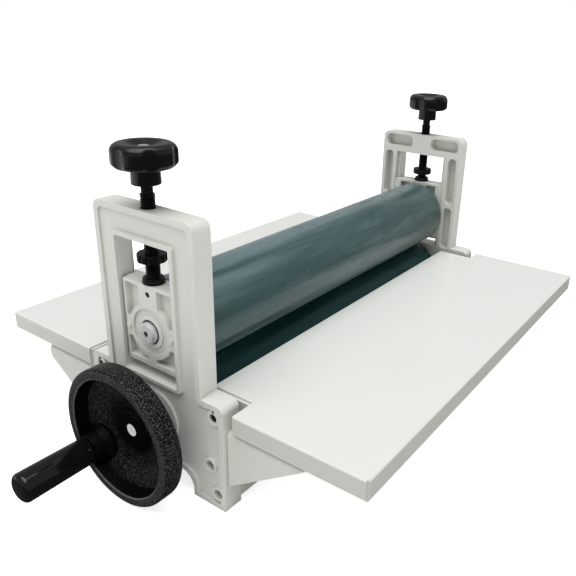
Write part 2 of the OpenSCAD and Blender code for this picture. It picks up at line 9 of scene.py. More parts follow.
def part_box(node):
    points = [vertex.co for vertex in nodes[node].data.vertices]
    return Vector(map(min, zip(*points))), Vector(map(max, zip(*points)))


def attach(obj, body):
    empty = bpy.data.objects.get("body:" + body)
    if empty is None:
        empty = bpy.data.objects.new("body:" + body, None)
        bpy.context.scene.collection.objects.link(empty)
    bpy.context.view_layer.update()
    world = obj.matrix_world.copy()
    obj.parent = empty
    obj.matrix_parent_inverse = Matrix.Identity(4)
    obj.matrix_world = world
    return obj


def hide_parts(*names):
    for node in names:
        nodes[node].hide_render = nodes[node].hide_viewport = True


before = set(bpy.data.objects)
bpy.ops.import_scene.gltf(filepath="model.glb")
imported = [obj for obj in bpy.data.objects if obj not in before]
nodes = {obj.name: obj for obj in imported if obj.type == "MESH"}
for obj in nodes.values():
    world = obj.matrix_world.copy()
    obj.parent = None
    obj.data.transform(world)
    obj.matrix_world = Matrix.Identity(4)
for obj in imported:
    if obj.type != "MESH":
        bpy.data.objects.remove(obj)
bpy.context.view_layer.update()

# ---- Camera ----
# It stands off the handwheel end, just above the knobs, and looks down along the rollers,
# turned a little about its own line of sight.
yaw, pitch, roll = np.radians([55.436, -22.558, 1.910])
forward = Vector((math.cos(pitch) * math.sin(yaw), math.cos(pitch) * math.cos(yaw), math.sin(pitch)))
level = forward.cross(Vector((0, 0, 1))).normalized()
upright = level.cross(forward)
camera = bpy.data.objects.new("camera", bpy.data.cameras.new("camera"))
camera.matrix_world = Matrix((math.cos(roll) * level + math.sin(roll) * upright,
                              math.cos(roll) * upright - math.sin(roll) * level,
                              -forward)).transposed().to_4x4()
camera.location = (-0.3959, -0.3030, 0.3083)
camera.data.lens = 39.81
camera.data.shift_x = -0.0628
camera.data.shift_y = -0.012
bpy.context.scene.collection.objects.link(camera)
bpy.context.scene.camera = camera


# ---- Side frames ----
# Two zinc or aluminium die castings, sprayed light warm grey. Every cast edge is a small round,
# and the paint lies over it in one soft coat. They stand on their four feet.
MM = 0.001


def linear(colour):
    """One sRGB hex colour as the linear RGBA that shaders take."""
    c = np.array([int(colour[i:i + 2], 16) for i in (1, 3, 5)]) / 255
    return (*np.where(c <= 0.04045, c / 12.92, ((c + 0.055) / 1.055) ** 2.4), 1.0)


def add(tree, kind, inputs=None, **settings):
    """Adds one node: settings are its own properties, and inputs maps each socket to a value or to
    another node's output."""
    node = tree.nodes.new(kind)
    for name, value in settings.items():
        setattr(node, name, value)
    for socket, value in (inputs or {}).items():
        if isinstance(value, bpy.types.NodeSocket):
            tree.links.new(value, node.inputs[socket])
        else:
            node.inputs[socket].default_value = value
    return node


def finish(name, **sockets):
    """A new material with one Principled shader, whose sockets are given with _ for a space. Returns the
    material, its tree, the shader and the object coordinates."""
    material = bpy.data.materials.new(name)
    material.use_nodes = True
    tree = material.node_tree
    tree.nodes.clear()
    shader = add(tree, "ShaderNodeBsdfPrincipled", {k.replace("_", " "): v for k, v in sockets.items()})
    add(tree, "ShaderNodeOutputMaterial", {"Surface": shader.outputs["BSDF"]})
    place = add(tree, "ShaderNodeTexCoord").outputs["Object"]
    return material, tree, shader, place


def per_mm(size):
    """Texture scale, in features per metre, for features of that many millimetres."""
    return 1 / (size * MM)


def sprayed_paint(name, light, shade, peel_mm, peel_height_mm):
    """Stove enamel sprayed on metal: a soft even grey, faintly clouded, with the low ripple of orange peel
    that breaks up its broad highlights. Corners within 7 mm of other surfaces are painted grey-green:
    painted shade."""
    material, tree, shader, place = finish(name, IOR=1.5)
    cloud = add(tree, "ShaderNodeTexNoise", {"Vector": place, "Scale": per_mm(45), "Detail": 4.0})
    body = add(tree, "ShaderNodeMix", {"Factor": cloud.outputs["Fac"], "A": linear(shade),
                                       "B": linear(light)}, data_type="RGBA")
    # Painted shade: ambient occlusion within 7 mm mixes corners towards grey-green #a3a79c.
    corner = add(tree, "ShaderNodeAmbientOcclusion", {"Distance": 7 * MM}, samples=6)
    reach = add(tree, "ShaderNodeMapRange", {"Value": corner.outputs["AO"], "From Min": 0.25,
                                             "From Max": 0.85, "To Min": 0.55, "To Max": 0.0})
    painted_corner_shade = add(tree, "ShaderNodeMix", {"Factor": reach.outputs["Result"], "A": body.outputs["Result"],
                                        "B": linear("#a3a79c")}, data_type="RGBA")
    tree.links.new(painted_corner_shade.outputs["Result"], shader.inputs["Base Color"])
    peel = add(tree, "ShaderNodeTexNoise", {"Vector": place, "Scale": per_mm(peel_mm), "Detail": 2.0})
    ripple = add(tree, "ShaderNodeBump", {"Height": peel.outputs["Fac"], "Distance": peel_height_mm * MM,
                                          "Strength": 1.0})
    tree.links.new(ripple.outputs["Normal"], shader.inputs["Normal"])
    gloss = add(tree, "ShaderNodeMapRange", {"Value": cloud.outputs["Fac"], "To Min": 0.36, "To Max": 0.5})
    tree.links.new(gloss.outputs["Result"], shader.inputs["Roughness"])
    return material


casting_paint = sprayed_paint("stove_enamel_on_casting", "#eeefe9", "#e6e7e0", 1.6, 0.03)
SHARP_ANGLE, FLAT_ANGLE = math.radians(32), math.radians(0.5)


def coat(mesh, material):
    """Gives a whole mesh one finish."""
    mesh.materials.clear()
    mesh.materials.append(material)


def place_piece(name, mesh, material, body, slot, *replaced):
    """Links a finished mesh as a piece, shades it smooth except across sharp edges, and says which body
    it rides on and which nodes it stands for."""
    piece = bpy.data.objects.new(name, mesh)
    bpy.context.scene.collection.objects.link(piece)
    coat(mesh, material)
    mesh.shade_smooth()
    mesh.set_sharp_from_angle(angle=SHARP_ANGLE)
    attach(piece, body)
    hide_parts(*replaced)
    return piece


def soften(name, node, width_mm, material, body, slot, steps=3):
    """A node's own shape with every sharp edge rounded: its triangles are merged into flat faces, and a
    bevel of that width runs along each edge that turns by more than SHARP_ANGLE."""
    mesh = nodes[node].data.copy()
    mesh.name = name
    shell = bmesh.new()
    shell.from_mesh(mesh)
    bmesh.ops.remove_doubles(shell, verts=shell.verts, dist=1e-6)
    bmesh.ops.dissolve_limit(shell, angle_limit=FLAT_ANGLE, verts=shell.verts, edges=shell.edges)
    shell.to_mesh(mesh)
    shell.free()
    mesh.normals_split_custom_set([(0, 0, 0)] * len(mesh.loops))
    piece = place_piece(name, mesh, material, body, slot, node)
    edge = piece.modifiers.new("rounded_edges", "BEVEL")
    edge.width = width_mm * MM
    edge.segments = steps
    edge.limit_method = "ANGLE"
    edge.angle_limit = SHARP_ANGLE
    edge.harden_normals = True
    edge.use_clamp_overlap = False


CAST_EDGE = 0.3  # millimetres that each edge is rounded by
for side in ("left", "right"):
    soften(f"{side}_frame_casting", f"{side}_side_frame", CAST_EDGE, casting_paint, "frame",
           "painted_casting")


# ---- Rollers ----
# Steel tubes with turned ends carry a thick sleeve of slate-green rubber, ground round on a lathe.
# The lower one turns in the frames and the upper one in the sliding blocks.
def rounded(corners, steps=6):
    """A profile from corners given as (along, out, fillet radius): each corner is an arc tangent to both
    its sides, with its centre on the bisector at radius / sin(half angle), and its ends
    radius / tan(half angle) from the corner. A corner with no fillet stays a point."""
    points = np.array([c[:2] for c in corners], float)
    profile = []
    for i, (_, _, radius) in enumerate(corners):
        if not radius:
            profile.append(points[i:i + 1])
            continue
        sides = points[[i - 1, (i + 1) % len(points)]] - points[i]
        sides /= np.linalg.norm(sides, axis=1)[:, None]
        half = np.arccos(np.clip(sides[0] @ sides[1], -1, 1)) / 2
        centre = points[i] + sides.sum(0) / np.linalg.norm(sides.sum(0)) * radius / np.sin(half)
        ends = points[i] + sides * radius / np.tan(half) - centre
        sweep = np.pi - 2 * half
        t = np.linspace(0, 1, steps + 1)[:, None]
        arc = np.sin((1 - t) * sweep) * ends[0] + np.sin(t * sweep) * ends[1]
        profile.append(centre + arc / np.sin(sweep))
    return np.concatenate(profile)


def skin(name, grid, loop=False):
    """A closed mesh over a grid of points: quads join each row to the next, columns run all the way round,
    and rows do too if loop. Points that coincide, as at a pole, are merged, and normals point outwards."""
    rows, columns = grid.shape[:2]
    index = np.arange(rows * columns).reshape(rows, columns)
    if loop:
        index = np.vstack([index, index[:1]])
    beside = np.roll(index, -1, axis=1)
    quads = np.stack([index[:-1], index[1:], beside[1:], beside[:-1]], axis=-1).reshape(-1, 4)
    mesh = bpy.data.meshes.new(name)
    mesh.from_pydata(grid.reshape(-1, 3), [], quads)
    shell = bmesh.new()
    shell.from_mesh(mesh)
    bmesh.ops.remove_doubles(shell, verts=shell.verts, dist=1e-7)
    bmesh.ops.dissolve_degenerate(shell, dist=1e-8, edges=shell.edges)
    bmesh.ops.recalc_face_normals(shell, faces=shell.faces)
    shell.to_mesh(mesh)
    shell.free()
    return mesh


def turned(profile, centre, axis, segments=96):
    """Grid of a surface of revolution: a profile of (along, out) points in millimetres, turned about an
    axis through centre. Along X a point is (along, out cos t, out sin t), and along Z it is
    (out cos t, out sin t, along)."""
    t = np.linspace(0, 2 * np.pi, segments, endpoint=False)
    along, out = (profile[:, i, None] * MM for i in (0, 1))
    ring = [out * np.cos(t), out * np.sin(t)]
    along = along + 0 * t
    return np.stack([along, *ring] if axis == "X" else [*ring, along], axis=-1) + np.array(centre)


def middle(node):
    """Middle of a node's box."""
    low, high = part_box(node)
    return (low + high) / 2


SLEEVE_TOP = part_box("upper_roller_cover")[1].z
CREST_HIGHLIGHT_STARTS, CREST_HIGHLIGHT_FULL = 2.6, 0.4
WIPED_FROM, WIPED_MOST = 20, 200
FEED_RING = 8.168
WAVE_PHASE = 20  # radians that the wave texture runs through for each unit of its scale


def ground_rubber(name, tones, wiped_tone, mirror, polish, bloom):
    """Neoprene sleeve ground on a lathe, slate green. Handling hazes it grey in long streaks, and a painted
    highlight lightens the colour along the top of the sleeve, from 2.6 to 0.4 millimetres below the top.
    Cloths have wiped patches clean and glossy, more of them from WIPED_FROM to WIPED_MOST millimetres
    along X. The grinding wheel left faint rings FEED_RING millimetres apart, as it was fed along. There
    are a few pale specks, and a thin bloom that is grey at grazing angles."""
    material, tree, shader, place = finish(name, IOR=1.5, Specular_IOR_Level=mirror, Sheen_Weight=bloom,
                                           Sheen_Roughness=0.35)
    along = add(tree, "ShaderNodeMapping", {"Vector": place, "Scale": (0.09, 1.0, 1.0)})
    haze = add(tree, "ShaderNodeTexNoise", {"Vector": along.outputs["Vector"], "Scale": per_mm(15),
                                            "Detail": 6.0, "Roughness": 0.5, "Distortion": 0.2})
    where = add(tree, "ShaderNodeSeparateXYZ", {"Vector": place})
    # Painted highlight: the streak colour is lightened along the top of the sleeve.
    crest = add(tree, "ShaderNodeMapRange", {"Value": where.outputs["Z"],
                                             "From Min": SLEEVE_TOP - CREST_HIGHLIGHT_STARTS * MM,
                                             "From Max": SLEEVE_TOP - CREST_HIGHLIGHT_FULL * MM,
                                             "To Min": 0.0, "To Max": 0.24})
    haze_and_highlight = add(tree, "ShaderNodeMath", {0: haze.outputs["Fac"], 1: crest.outputs["Result"]},
                 operation="ADD")
    streaks = add(tree, "ShaderNodeValToRGB", {"Fac": haze_and_highlight.outputs["Value"]})
    ramp = streaks.color_ramp
    ramp.elements[0].position, ramp.elements[0].color = 0.32, linear(tones[0])
    ramp.elements[1].position, ramp.elements[1].color = 0.68, linear(tones[2])
    ramp.elements.new(0.5).color = linear(tones[1])
    lengthwise = add(tree, "ShaderNodeMapping", {"Vector": place, "Scale": (0.4, 1.0, 1.0)})
    cloth = add(tree, "ShaderNodeTexNoise", {"Vector": lengthwise.outputs["Vector"], "Scale": per_mm(17),
                                             "Detail": 2.5, "Distortion": 0.6})
    bias = add(tree, "ShaderNodeMapRange", {"Value": where.outputs["X"], "From Min": WIPED_FROM * MM,
                                            "From Max": WIPED_MOST * MM, "To Min": 0.0, "To Max": 0.16})
    reach = add(tree, "ShaderNodeMath", {0: cloth.outputs["Fac"], 1: bias.outputs["Result"]},
                operation="ADD")
    wiped = add(tree, "ShaderNodeMapRange", {"Value": reach.outputs["Value"], "From Min": 0.64,
                                             "From Max": 0.69, "To Min": 0.0, "To Max": 0.5})
    clean = add(tree, "ShaderNodeMix", {"Factor": wiped.outputs["Result"], "A": streaks.outputs["Color"],
                                        "B": linear(wiped_tone)}, data_type="RGBA")
    dust = add(tree, "ShaderNodeTexVoronoi", {"Vector": place, "Scale": per_mm(14)}, feature="F1")
    speck = add(tree, "ShaderNodeMapRange", {"Value": dust.outputs["Distance"], "From Min": 0.03,
                                             "From Max": 0.05, "To Min": 0.6, "To Max": 0.0})
    body = add(tree, "ShaderNodeMix", {"Factor": speck.outputs["Result"], "A": clean.outputs["Result"],
                                       "B": linear("#a3b3b1")}, data_type="RGBA")
    tree.links.new(body.outputs["Result"], shader.inputs["Base Color"])
    gloss = add(tree, "ShaderNodeMapRange", {"Value": haze.outputs["Fac"], "From Min": 0.32,
                                             "From Max": 0.68, "To Min": polish, "To Max": polish + 0.16})
    tree.links.new(gloss.outputs["Result"], shader.inputs["Roughness"])
    rings = add(tree, "ShaderNodeTexWave", {"Vector": place,
                                            "Scale": 2 * math.pi * per_mm(FEED_RING) / WAVE_PHASE,
                                            "Distortion": 1.5, "Detail": 2.0, "Detail Scale": 3.0},
                bands_direction="X")
    grain = add(tree, "ShaderNodeBump", {"Height": rings.outputs["Fac"], "Distance": 0.004 * MM})
    tree.links.new(grain.outputs["Normal"], shader.inputs["Normal"])
    return material


# The upper sleeve is the one that hands and cloths reach. The lower one is a darker, deeper green copy with
# less mirror: painted shade, for its place under the upper roller.
hazed_rubber = ground_rubber("hazed_neoprene", ("#334f50", "#3e595a", "#657d80"), "#26494b", 0.5, 0.2, 0.3)
shade_darkened_rubber = ground_rubber("shade_darkened_neoprene", ("#123a3a", "#1b4646", "#2a5757"), "#0d2f2f", 0.2, 0.14, 0)


def turned_metal(name, dull, bright, ring_mm, roughness, metallic):
    """Steel from a lathe: bright, with fine tool marks that spread its highlights, and dulled in patches by
    oil or by a zinc skin. Holes and narrow gaps within 5 mm of other surfaces are painted black: painted
    shade.
    The marks are too fine to show, so they are drawn ring_mm apart."""
    material, tree, shader, place = finish(name, Metallic=metallic, Roughness=roughness)
    stain = add(tree, "ShaderNodeTexNoise", {"Vector": place, "Scale": per_mm(4), "Detail": 3.0})
    body = add(tree, "ShaderNodeMix", {"Factor": stain.outputs["Fac"], "A": linear(dull),
                                       "B": linear(bright)}, data_type="RGBA")
    # Painted shade: ambient occlusion within 5 mm turns holes and narrow gaps black.
    gap = add(tree, "ShaderNodeAmbientOcclusion", {"Distance": 5 * MM}, samples=6)
    reach = add(tree, "ShaderNodeMapRange", {"Value": gap.outputs["AO"], "From Min": 0.3, "From Max": 0.55,
                                             "To Min": 1.0, "To Max": 0.0})
    painted_gap_shade = add(tree, "ShaderNodeMix", {"Factor": reach.outputs["Result"], "A": body.outputs["Result"],
                                          "B": linear("#0c0c0c")}, data_type="RGBA")
    tree.links.new(painted_gap_shade.outputs["Result"], shader.inputs["Base Color"])
    rings = add(tree, "ShaderNodeTexNoise", {"Vector": place, "Scale": per_mm(ring_mm), "Detail": 1.0})
    cut = add(tree, "ShaderNodeBump", {"Height": rings.outputs["Fac"], "Distance": 0.01 * MM})
    tree.links.new(cut.outputs["Normal"], shader.inputs["Normal"])
    return material


# The upper core, the bearings and the spindle are turned bright. The lower core has a near-white, matt,
# barely metallic finish, so its end shows pale and flat in the wheel's hub.
shaft_steel = turned_metal("turned_shaft_steel", "#d9d7dd", "#ffffff", 0.5, 0.34, 0.55)
pale_matt_steel = turned_metal("pale_matt_shaft_steel", "#f2f2f4", "#ffffff", 0.5, 0.6, 0.05)

ROLLER_EDGE = 0.9
for row, rubber, steel in (("lower", shade_darkened_rubber, pale_matt_steel), ("upper", hazed_rubber, shaft_steel)):
    node, core = f"{row}_roller_cover", f"{row}_roller_core"
    low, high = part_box(node)
    core_low, core_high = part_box(core)
    radius = (high.z - low.z) / 2 / MM
    bore = (core_high.z - core_low.z) / 2 / MM
    half = (high.x - low.x) / 2 / MM
    profile = rounded([(-half, bore, 0), (-half, radius, ROLLER_EDGE), (half, radius, ROLLER_EDGE),
                       (half, bore, 0)])
    grid = turned(profile, middle(node), "X", 256)
    place_piece(f"{row}_rubber_sleeve", skin(node, grid, loop=True), rubber, f"{row}_roller",
                "roller_rubber", node)
    coat(nodes[core].data, steel)


# ---- Handwheel ----
# A grey iron casting, turned nowhere but in its bore: deep rim, dished web, hub, and a boss for the crank.
# It is sprayed with charcoal hammertone, which hides the sand-cast skin.
def hammertone(name, film, flakes, low, high, mirror=0.06, roughness=0.42):
    """Hammertone enamel: leafing flecks of aluminium float to islands under a millimetre across in a
    charcoal film and dry there, so it sparkles grey on black and dimples slightly. film and flakes are the
    tones, and low and high are the heights of the noise between which one turns to the other. Corners within
    9 mm of other surfaces are painted near black as painted shade, and the finish also goes near black
    within
    15 to 30 mm of the axle."""
    material, tree, shader, place = finish(name, IOR=1.5, Specular_IOR_Level=mirror, Roughness=roughness)
    fleck = add(tree, "ShaderNodeTexNoise", {"Vector": place, "Scale": per_mm(0.75), "Detail": 2.0,
                                             "Roughness": 0.6, "Distortion": 0.3})
    islands = add(tree, "ShaderNodeValToRGB", {"Fac": fleck.outputs["Fac"]})
    ramp = islands.color_ramp
    ramp.elements[0].position, ramp.elements[0].color = low, linear(film)
    ramp.elements[1].position, ramp.elements[1].color = high, linear(flakes)
    # Painted shade: ambient occlusion within 9 mm takes corners to near black; the finish also goes near
    # black close round the axle.
    corner = add(tree, "ShaderNodeAmbientOcclusion", {"Distance": 9 * MM}, samples=6)
    reach = add(tree, "ShaderNodeMapRange", {"Value": corner.outputs["AO"], "From Min": 0.4,
                                             "From Max": 0.8, "To Min": 0.9, "To Max": 0.0})
    hub = add(tree, "ShaderNodeVectorMath", {0: place, 1: tuple(middle("lower_roller_cover"))},
              operation="SUBTRACT")
    flat = add(tree, "ShaderNodeVectorMath", {0: hub.outputs["Vector"], 1: (0, 1, 1)}, operation="MULTIPLY")
    from_hub = add(tree, "ShaderNodeVectorMath", {0: flat.outputs["Vector"]}, operation="LENGTH")
    masked = add(tree, "ShaderNodeMapRange", {"Value": from_hub.outputs["Value"], "From Min": 15 * MM,
                                              "From Max": 30 * MM, "To Min": 0.92, "To Max": 0.0})
    shade_and_hub_mask = add(tree, "ShaderNodeMath", {0: reach.outputs["Result"], 1: masked.outputs["Result"]},
               operation="MAXIMUM")
    shade_and_hub_darkened = add(tree, "ShaderNodeMix", {"Factor": shade_and_hub_mask.outputs["Value"], "A": islands.outputs["Color"],
                                         "B": linear("#030303")}, data_type="RGBA")
    tree.links.new(shade_and_hub_darkened.outputs["Result"], shader.inputs["Base Color"])
    metal = add(tree, "ShaderNodeMapRange", {"Value": fleck.outputs["Fac"], "From Min": low,
                                             "From Max": high, "To Max": 0.35})
    tree.links.new(metal.outputs["Result"], shader.inputs["Metallic"])
    dimple = add(tree, "ShaderNodeBump", {"Height": fleck.outputs["Fac"], "Distance": 0.1 * MM})
    tree.links.new(dimple.outputs["Normal"], shader.inputs["Normal"])
    return material


def joined(name, *meshes):
    """Several closed meshes as one."""
    shell = bmesh.new()
    for mesh in meshes:
        shell.from_mesh(mesh)
    whole = bpy.data.meshes.new(name)
    shell.to_mesh(whole)
    shell.free()
    return whole


# A full coat on the sides; a near-black copy inside the rim and on the boss, painted shade; a flat one on
# the rim's front; and a lighter, glossier copy along the lip and the foot of the rim, painted highlight.
full_coat = hammertone("hammertone_full_coat", "#060606", "#6a6a67", 0.51, 0.66)
# Painted shade: a near-black copy for the inside of the rim and the boss.
painted_shade_coat = hammertone("hammertone_painted_shade_coat", "#040404", "#242424", 0.5, 0.68)
flat_coat = hammertone("hammertone_flat_coat", "#242424", "#5c5c5a", 0.4, 0.7)
# Painted highlight: a lighter, glossier copy for the lip and the foot of the rim.
painted_highlight_coat = hammertone("hammertone_painted_highlight_coat", "#343434", "#8a8a87", 0.3, 0.7, 0.6, 0.15)
low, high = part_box("handwheel")
axle = middle("lower_roller_cover")
grip = middle("crank_handle")
rim_front = low.x
RIM_R, RIM_INNER_R, RIM_W = (high.z - low.z) / 2 / MM, 42.1, 14.8
HUB_R, HUB_FACE, HUB_BACK = 15.5, 14.0, (high.x - low.x) / MM
WEB_RIM, WEB_HUB = 10.3, 16.8
SHAFT_R, SHAFT_END, EYE_R = 7.5, 21, 4.5
BOSS_R, BOSS_NECK, BOSS_END = 10.1, 7.5, WEB_RIM + 3.2
wheel_profile = rounded([
    (0, RIM_R, 2.2), (RIM_W, RIM_R, 2.2), (RIM_W, RIM_INNER_R, 0.8), (WEB_HUB + 1.8, HUB_R + 2, 2.5),
    (HUB_BACK, HUB_R, 1.2), (HUB_BACK, SHAFT_R, 0.5), (SHAFT_END, SHAFT_R, 0), (SHAFT_END, EYE_R, 0),
    (HUB_FACE, EYE_R, 0.4), (HUB_FACE, HUB_R - 1.2, 1.4), (WEB_HUB, HUB_R + 1.2, 1.6),
    (WEB_RIM, RIM_INNER_R - 0.7, 2.6), (0, RIM_INNER_R, 1.6)])
wheel_mesh = skin("wheel", turned(wheel_profile, (rim_front, axle.y, axle.z), "X", 288), loop=True)
boss_profile = rounded([(0, 0, 0), (0, BOSS_R, 1.0), (BOSS_NECK, BOSS_R + 1.1, 6.0),
                        (WEB_RIM + 1.6, BOSS_R + 4.2, 0), (BOSS_END, BOSS_R, 0), (BOSS_END, 0, 0)])
boss_mesh = skin("boss", turned(boss_profile, (rim_front, grip.y, grip.z), "X"))
wheel = place_piece("handwheel_casting", joined("handwheel_casting", wheel_mesh, boss_mesh), full_coat,
                    "lower_roller", "hammertone_paint", "handwheel")
for other_coat in (painted_shade_coat, flat_coat, painted_highlight_coat):
    wheel.data.materials.append(other_coat)
SHADED, FLAT, HIGHLIGHT_BAND = 1, 2, 3
# Bands of the rim that take another coat, by their distance from the axle and their depth from the front.
FOOT_INNER_R, FOOT_OUTER_R, FOOT_DEPTH = RIM_INNER_R - 3.1, RIM_INNER_R - 1.5, 7
LIP_INNER_R, LIP_OUTER_R, LIP_DEPTH = RIM_INNER_R + 0.2, RIM_INNER_R + 1, 1.5
FLAT_OUTER_R, FLAT_DEPTH = RIM_R - 1, 1
WALL_BAND = 2
at = np.array([p.center for p in wheel.data.polygons]) / MM - np.array([rim_front, axle.y, axle.z]) / MM
depth, out = at[:, 0], np.hypot(at[:, 1], at[:, 2])
coats = np.zeros(len(at), int)
# Painted shade on the rim's inside wall and on the boss, painted highlight along the foot and the lip.
coats[(np.abs(out - RIM_INNER_R) < WALL_BAND) & (depth < WEB_RIM)] = SHADED
coats[(out > LIP_OUTER_R) & (out < FLAT_OUTER_R) & (depth < FLAT_DEPTH)] = FLAT
coats[(out > FOOT_INNER_R) & (out < FOOT_OUTER_R) & (depth > FOOT_DEPTH) & (depth < WEB_RIM)] = HIGHLIGHT_BAND
coats[(out > LIP_INNER_R) & (out < LIP_OUTER_R) & (depth < LIP_DEPTH)] = HIGHLIGHT_BAND
coats[len(wheel_mesh.polygons):] = SHADED
wheel.data.polygons.foreach_set("material_index", coats)


# ---- Crank handle ----
# A turned black phenolic grip that spins on a steel spindle screwed into the wheel's boss.
# A snap ring inside keeps it on.
def phenolic():
    """Polished phenolic: near-black and glossy, with fine lengthwise scuffs from hands and packing."""
    material, tree, shader, place = finish("polished_phenolic", IOR=1.55, Specular_IOR_Level=0.35)
    along = add(tree, "ShaderNodeMapping", {"Vector": place, "Scale": (0.08, 1.0, 1.0)})
    scuff = add(tree, "ShaderNodeTexNoise", {"Vector": along.outputs["Vector"], "Scale": per_mm(1.2),
                                             "Detail": 3.0})
    body = add(tree, "ShaderNodeMix", {"Factor": scuff.outputs["Fac"], "A": linear("#0a0a0b"),
                                       "B": linear("#18181a")}, data_type="RGBA")
    tree.links.new(body.outputs["Result"], shader.inputs["Base Color"])
    gloss = add(tree, "ShaderNodeMapRange", {"Value": scuff.outputs["Fac"], "From Min": 0.3,
                                             "From Max": 0.7, "To Min": 0.04, "To Max": 0.14})
    tree.links.new(gloss.outputs["Result"], shader.inputs["Roughness"])
    return material


low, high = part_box("crank_handle")
length, end_r = (high.x - low.x) / MM, (high.z - low.z) / 2 / MM
BORE_R, BORE_END = 4.2, 34.0
grip_profile = rounded([(-BORE_END, 0, 0), (-BORE_END, BORE_R, 0), (0, BORE_R, 0.3),
                        (0, end_r - 0.7, 0.8), (-4, end_r - 0.5, 8), (-length + 2.5, end_r, 3.0),
                        (-length + 0.7, end_r - 2.8, 2.0), (-length, 0, 0)])
place_piece("crank_grip", skin("crank_grip", turned(grip_profile, (high.x, grip.y, grip.z), "X")),
            phenolic(), "crank_grip", "handle_plastic", "crank_handle")
for node in ("crank_spindle", "crank_snap_ring"):
    coat(nodes[node].data, shaft_steel)


# ---- Bearing blocks ----
# Castings that slide in the windows of the side frames and hold the upper roller's bearings.
# They are painted with the frames; the bearings in them are bare steel.
for side in ("left", "right"):
    soften(f"{side}_block_casting", f"{side}_bearing_block", CAST_EDGE, casting_paint, "carriage",
           "painted_casting")
for node in ("upper_bearings", "lower_bearings"):
    coat(nodes[node].data, shaft_steel)


# ---- Pressure screws ----
# M10 screws, blackened in hot oxide, with a rolled thread at 1.5 mm pitch. A collar presses on the block,
# a lock nut rides on the thread, and a moulded knob is pressed on the bare neck.
def black_oxide():
    """Hot black oxide on steel: a thin matt black skin with the metal's own soft highlight."""
    material, tree, shader, place = finish("black_oxide", Metallic=0.7, Roughness=0.42)
    skin_tone = add(tree, "ShaderNodeTexNoise", {"Vector": place, "Scale": per_mm(3), "Detail": 4.0})
    body = add(tree, "ShaderNodeMix", {"Factor": skin_tone.outputs["Fac"], "A": linear("#0a0a0b"),
                                       "B": linear("#232326")}, data_type="RGBA")
    tree.links.new(body.outputs["Result"], shader.inputs["Base Color"])
    return material


def moulded_nylon():
    """Glass-filled nylon from a polished mould: black, satin, with a faint pebbled skin."""
    material, tree, shader, place = finish("moulded_nylon", IOR=1.53, Specular_IOR_Level=0.4)
    mottle = add(tree, "ShaderNodeTexNoise", {"Vector": place, "Scale": per_mm(6), "Detail": 3.0})
    body = add(tree, "ShaderNodeMix", {"Factor": mottle.outputs["Fac"], "A": linear("#070708"),
                                       "B": linear("#101012")}, data_type="RGBA")
    tree.links.new(body.outputs["Result"], shader.inputs["Base Color"])
    pebble = add(tree, "ShaderNodeTexNoise", {"Vector": place, "Scale": per_mm(0.6), "Detail": 1.0})
    skin_bump = add(tree, "ShaderNodeBump", {"Height": pebble.outputs["Fac"], "Distance": 0.012 * MM})
    tree.links.new(skin_bump.outputs["Normal"], shader.inputs["Normal"])
    gloss = add(tree, "ShaderNodeMapRange", {"Value": mottle.outputs["Fac"], "To Min": 0.2, "To Max": 0.32})
    tree.links.new(gloss.outputs["Result"], shader.inputs["Roughness"])
    return material


oxide = black_oxide()
nylon = moulded_nylon()
# Millimetres, except for counts and shares. The groove near the tip is for the block's grub screw, the
# collar covers the first turns of the thread, and the bright end is the neck's, in the knob's dish.
THREAD_R, THREAD_PITCH, THREAD_DEPTH, THREAD_FLAT = 4.72, 1.5, 0.82, 0.12
ROWS_PER_PITCH, SCREW_COLUMNS = 14, 60
THREAD_IN_COLLAR, BARE_UNDER_KNOB = 0.6, 6.2
TIP_R, NECK_R, BRIGHT_END = 4, 3.7, 1
GROOVE_LOW, GROOVE_HIGH, GROOVE_R = 1.4, 5.8, 3
KNOB_LOBES, SCALLOP_R, SCALLOP_DEPTH = 6, 9.0, 1.9
KNOB_BORE, KNOB_NECK, KNOB_NECK_R, KNOB_UNDER_R = 3.8, 10.5, 9.2, 17.6
KNOB_CROWN, KNOB_DISH_R = 5.4, 11.3
COLLAR_BORE, COLLAR_R, COLLAR_TOP_R = 4.02, 7.4, 6.9
NUT_BORE, NUT_R = 4.8, 9.5
NUT_NOTCHES, NOTCH_R, NOTCH_DEPTH = 12, 1.5, 0.8
UNCUT, CLEAR = 0.7, 4


def ring(out, z):
    """Circles of points in millimetres about Z, one for each height in z."""
    t = np.linspace(0, 2 * np.pi, SCREW_COLUMNS, endpoint=False)
    return np.stack([out * np.cos(t), out * np.sin(t), z + 0 * t], axis=-1)


def threaded(bottom, top):
    """Grid of a screw thread in millimetres about Z: at height z and angle t the radius is the crest's, less
    the depth times a triangle wave of z / pitch - t / one turn, flattened at crest and root, and it fades
    out over one pitch at each end."""
    z = np.arange(bottom, top, THREAD_PITCH / ROWS_PER_PITCH)[:, None]
    t = np.linspace(0, 2 * np.pi, SCREW_COLUMNS, endpoint=False)
    wave = np.abs((z / THREAD_PITCH - t / (2 * np.pi)) % 1 * 2 - 1)
    fade = np.clip(np.minimum(z - bottom, top - z) / THREAD_PITCH, 0, 1)
    cut = np.clip((wave - THREAD_FLAT) / (1 - 2 * THREAD_FLAT), 0, 1)
    return ring(THREAD_R - THREAD_DEPTH * cut * fade, z)


